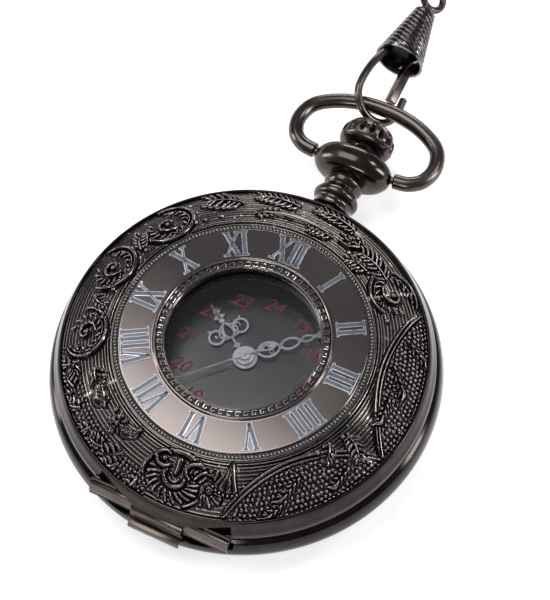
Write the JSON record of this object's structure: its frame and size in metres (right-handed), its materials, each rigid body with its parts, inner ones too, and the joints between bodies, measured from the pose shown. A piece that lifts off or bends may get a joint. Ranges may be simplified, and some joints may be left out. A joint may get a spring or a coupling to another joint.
{
  "type": "pocket watch",
  "caption": "Round demi-hunter pocket watch with a hinged relief lid round a glass window, a quartz movement, a fluted crown, a bow and a snap hook.",
  "frame": {"origin": "centre of the flat of the back, on which the watch lies", "axes": "+Z is the dial's normal, +Y points to 12 o'clock and the pendant, +X to 3 o'clock"},
  "size_m": [0.047, 0.0903, 0.014],
  "materials": {
    "case_metal": "polished gunmetal plating",
    "lid_metal": "gunmetal plating, polished rims over dark relief",
    "glass_clear": "clear mineral glass",
    "dial_black": "black satin dial",
    "hand_white": "pale silver hands",
    "steel": "bright steel",
    "brass": "turned brass",
    "copper": "enamelled copper wire",
    "board_green": "printed circuit board",
    "black_plastic": "moulded black plastic"
  },
  "bodies": {
    "case": {"back_cover": "case_metal", "case_middle": "case_metal", "case_knuckle": "case_metal", "hinge_pin": "steel", "lid_lift_spring": "steel", "crystal_bezel": "case_metal", "crystal": "glass_clear", "dial": "dial_black", "dial_ring": "dial_black", "stator": "steel", "coil": "copper", "circuit_board": "board_green", "ic_chip": "black_plastic", "quartz_crystal": "steel", "battery": "steel", "battery_clip": "steel", "main_plate": "brass", "train_bridge": "brass", "bridge_screw_1": "steel", "bridge_screw_2": "steel", "bridge_screw_3": "steel", "movement_holder": "black_plastic", "pendant": "case_metal", "pendant_sleeve": "steel"},
    "lid": {"front_lid": "lid_metal", "lid_glass": "glass_clear", "lid_glass_ring": "case_metal", "lid_knuckle_left": "case_metal", "lid_knuckle_right": "case_metal"},
    "catch": {"lid_catch": "steel"},
    "detent": {"stem_detent": "steel"},
    "stem": {"setting_stem": "steel", "setting_pinion": "steel"},
    "crown": {"crown": "case_metal"},
    "seconds": {"seconds_wheel": "brass", "seconds_hand": "hand_white"},
    "minutes": {"centre_wheel": "brass", "minute_hand": "hand_white"},
    "hours": {"hour_wheel": "brass", "hour_hand": "hand_white"},
    "fifth": {"fifth_wheel": "brass"},
    "third": {"third_wheel": "brass"},
    "motion_wheel": {"minute_wheel": "brass"},
    "rotor": {"rotor": "steel"},
    "bow": {"bow": "case_metal"},
    "clasp": {"clasp_hook": "case_metal", "clasp_body": "case_metal", "clasp_gate_pin": "steel"},
    "gate": {"clasp_gate": "case_metal"},
    "swivel": {"clasp_swivel": "case_metal"},
    "end_ring": {"clasp_ring": "case_metal"}
  },
  "joints": [
    {"name": "lid_hinge", "type": "hinge", "parent": "case", "child": "lid", "pos_m": [0, -0.02195, 0.0081], "axis": [1, 0, 0], "range_deg": [0, 105]},
    {"name": "crown_pull", "type": "slide", "parent": "case", "child": "detent", "axis": [0, 1, 0], "range_m": [0, 0.001]},
    {"name": "crown_turn", "type": "hinge", "parent": "detent", "child": "stem", "pos_m": [0, 0.011, 0.006], "axis": [0, 1, 0], "continuous": true},
    {"name": "crown_press", "type": "slide", "parent": "stem", "child": "crown", "axis": [0, -1, 0], "range_m": [0, 0.0006], "stiffness_N_per_m": 150},
    {"name": "catch_release", "type": "slide", "parent": "case", "child": "catch", "axis": [0, -1, 0], "range_m": [0, 0.0005]},
    {"name": "seconds_run", "type": "hinge", "parent": "case", "child": "seconds", "pos_m": [0, 0, 0.005], "axis": [0, 0, -1], "continuous": true},
    {"name": "minutes_run", "type": "hinge", "parent": "case", "child": "minutes", "pos_m": [0, 0, 0.005], "axis": [0, 0, -1], "continuous": true},
    {"name": "hours_run", "type": "hinge", "parent": "case", "child": "hours", "pos_m": [0, 0, 0.007], "axis": [0, 0, -1], "continuous": true},
    {"name": "fifth_run", "type": "hinge", "parent": "case", "child": "fifth", "pos_m": [0.00325, -0.00087, 0.0037], "axis": [0, 0, -1], "continuous": true},
    {"name": "third_run", "type": "hinge", "parent": "case", "child": "third", "pos_m": [-0.00162, 0.0028, 0.0037], "axis": [0, 0, -1], "continuous": true},
    {"name": "motion_run", "type": "hinge", "parent": "case", "child": "motion_wheel", "pos_m": [0, 0.0032, 0.0068], "axis": [0, 0, -1], "continuous": true},
    {"name": "rotor_run", "type": "hinge", "parent": "case", "child": "rotor", "pos_m": [0.00585, -0.00157, 0.004], "axis": [0, 0, -1], "continuous": true},
    {"name": "bow_swing", "type": "hinge", "parent": "case", "child": "bow", "pos_m": [0, 0.0312, 0.006], "axis": [1, 0, 0], "range_deg": [-90, 90]},
    {"name": "clasp_swing", "type": "hinge", "parent": "bow", "child": "clasp", "pos_m": [-0.0014, 0.0405, 0.006], "axis": [1, 0, 0], "range_deg": [-60, 60]},
    {"name": "gate_open", "type": "hinge", "parent": "clasp", "child": "gate", "pos_m": [-0.00017, 0.04935, 0.00497], "axis": [-0.6428, 0, -0.766], "range_deg": [0, 25], "stiffness_Nm_per_rad": 0.00002},
    {"name": "swivel_turn", "type": "hinge", "parent": "clasp", "child": "swivel", "pos_m": [-0.0014, 0.057, 0.006], "axis": [0, 1, 0], "continuous": true},
    {"name": "ring_swing", "type": "hinge", "parent": "swivel", "child": "end_ring", "pos_m": [-0.0014, 0.0617, 0.006], "axis": [0.766, 0, -0.6428], "range_deg": [-60, 60]}
  ],
  "couplings": [
    {"joint": "minutes_run", "follows": "seconds_run", "ratio": 0.016667},
    {"joint": "hours_run", "follows": "seconds_run", "ratio": 0.0013889},
    {"joint": "fifth_run", "follows": "seconds_run", "ratio": -6},
    {"joint": "rotor_run", "follows": "seconds_run", "ratio": 30},
    {"joint": "third_run", "follows": "seconds_run", "ratio": -0.13333},
    {"joint": "motion_run", "follows": "seconds_run", "ratio": -0.0055556},
    {"joint": "catch_release", "follows": "crown_press", "ratio": 0.83333}
  ]
}
